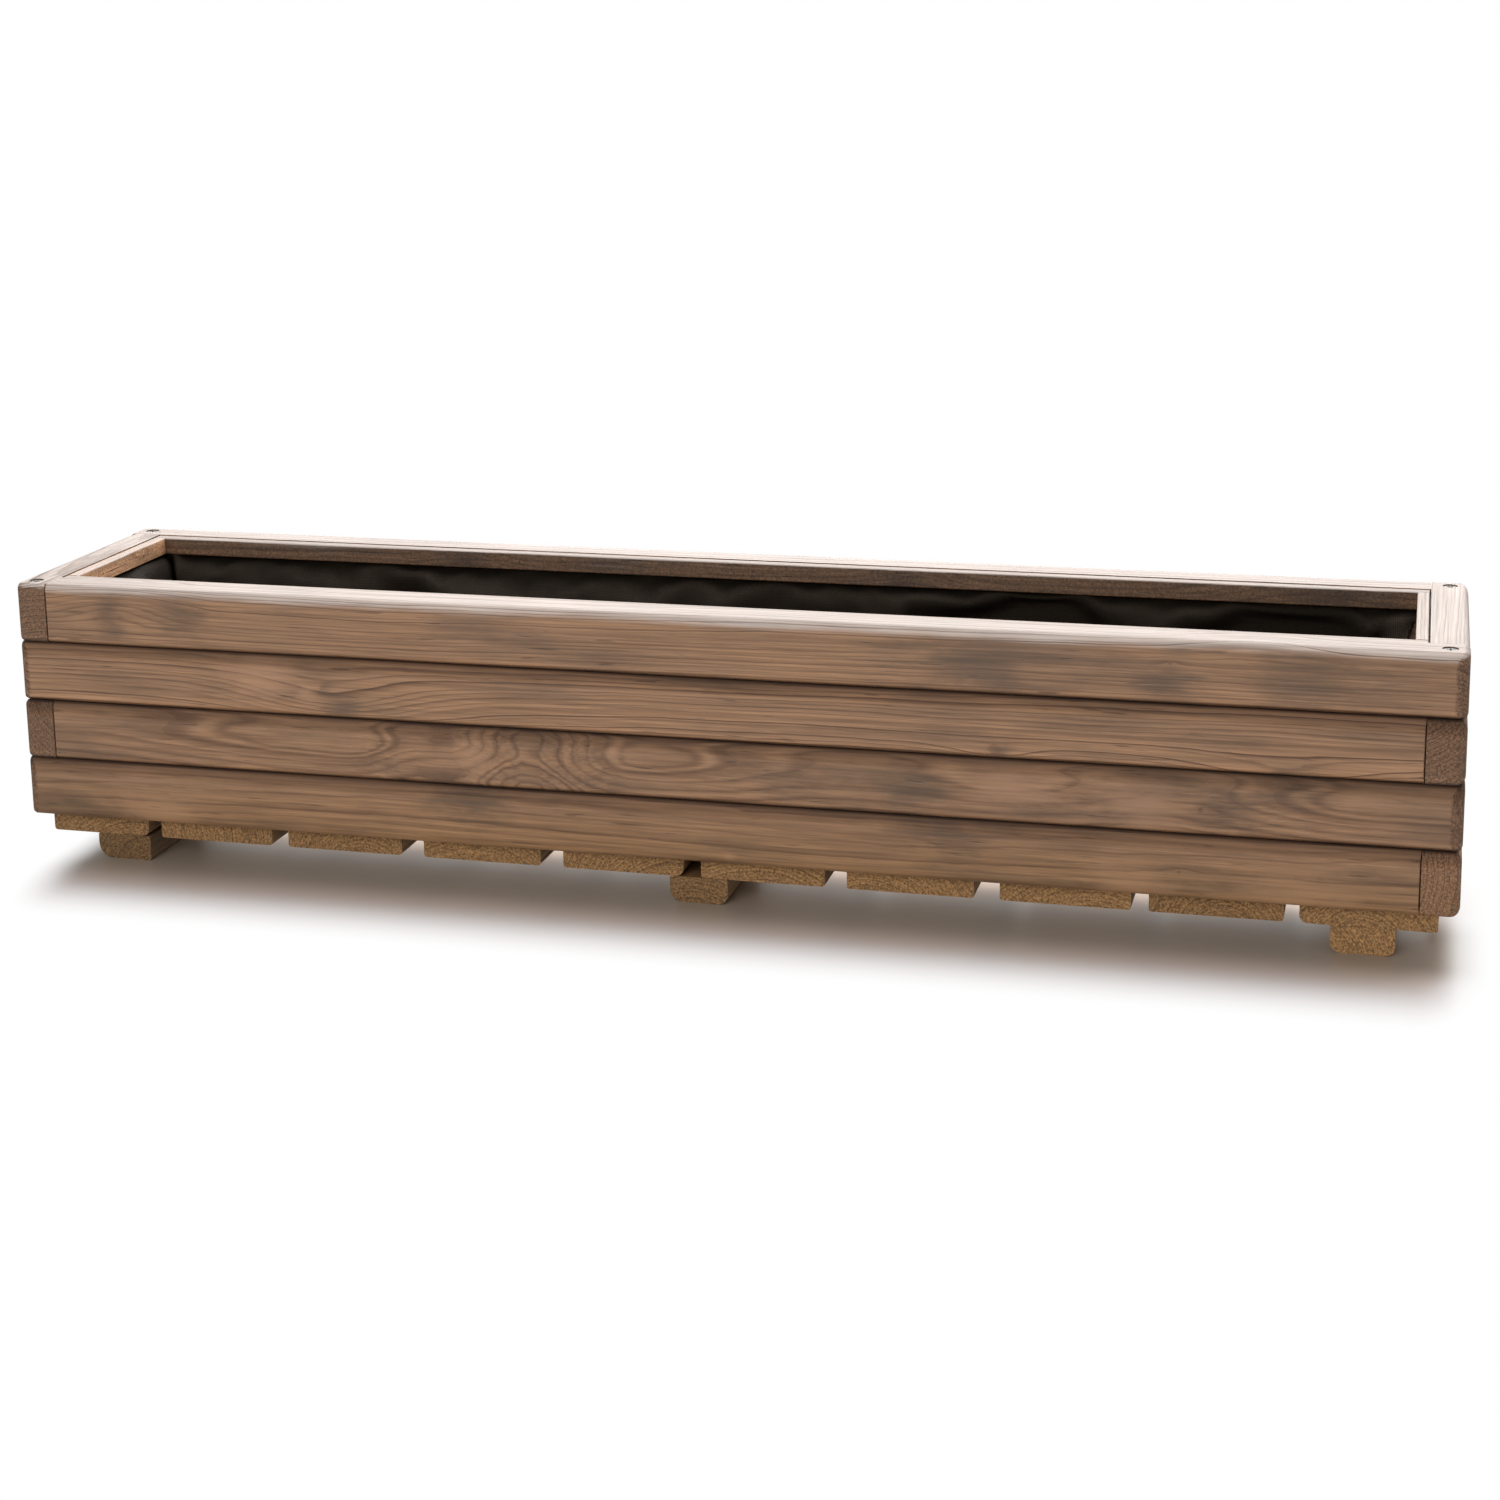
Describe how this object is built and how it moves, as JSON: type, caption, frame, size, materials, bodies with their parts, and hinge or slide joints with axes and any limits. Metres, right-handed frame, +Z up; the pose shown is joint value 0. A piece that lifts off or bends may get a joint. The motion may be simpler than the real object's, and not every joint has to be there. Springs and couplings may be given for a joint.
{
  "type": "window box planter",
  "caption": "Long timber window box of stacked rounded rails with pinwheel corners, a clamped black liner and a slatted base on cross bearers.",
  "frame": {"origin": "on the ground under the middle of the planter", "axes": "+X along the length to the right of someone facing the front, +Y from front to back, +Z up"},
  "size_m": [1.1, 0.22, 0.225],
  "materials": {
    "rails": "planed pressure-treated softwood, brown, with open flame grain and knots",
    "dowels": "smooth turned beech",
    "battens": "planed and part rough-sawn treated softwood",
    "slats": "rough-sawn pressure-treated softwood, yellowish brown",
    "bearers": "planed pressure-treated softwood with rounded lower edges",
    "screws": "bright zinc-plated steel",
    "liner": "black woven tape fabric with a soft plastic sheen"
  },
  "bodies": {
    "root": {"top_front_rail": "rails", "top_right_rail": "rails", "top_back_rail": "rails", "top_left_rail": "rails", "upper_front_rail": "rails", "upper_right_rail": "rails", "upper_back_rail": "rails", "upper_left_rail": "rails", "lower_front_rail": "rails", "lower_right_rail": "rails", "lower_back_rail": "rails", "lower_left_rail": "rails", "bottom_front_rail": "rails", "bottom_right_rail": "rails", "bottom_back_rail": "rails", "bottom_left_rail": "rails", "top_front_dowel": "dowels", "top_right_dowel": "dowels", "top_back_dowel": "dowels", "top_left_dowel": "dowels", "upper_front_dowel": "dowels", "upper_right_dowel": "dowels", "upper_back_dowel": "dowels", "upper_left_dowel": "dowels", "lower_front_dowel": "dowels", "lower_right_dowel": "dowels", "lower_back_dowel": "dowels", "lower_left_dowel": "dowels", "bottom_front_dowel": "dowels", "bottom_right_dowel": "dowels", "bottom_back_dowel": "dowels", "bottom_left_dowel": "dowels", "front_liner_batten": "battens", "right_liner_batten": "battens", "back_liner_batten": "battens", "left_liner_batten": "battens", "base_slat_1": "slats", "base_slat_2": "slats", "base_slat_3": "slats", "base_slat_4": "slats", "base_slat_5": "slats", "base_slat_6": "slats", "base_slat_7": "slats", "base_slat_8": "slats", "base_slat_9": "slats", "base_slat_10": "slats", "left_bearer": "bearers", "middle_bearer": "bearers", "right_bearer": "bearers", "front_left_corner_screw": "screws", "front_right_corner_screw": "screws", "back_left_corner_screw": "screws", "back_right_corner_screw": "screws", "liner": "liner"}
  },
  "joints": []
}
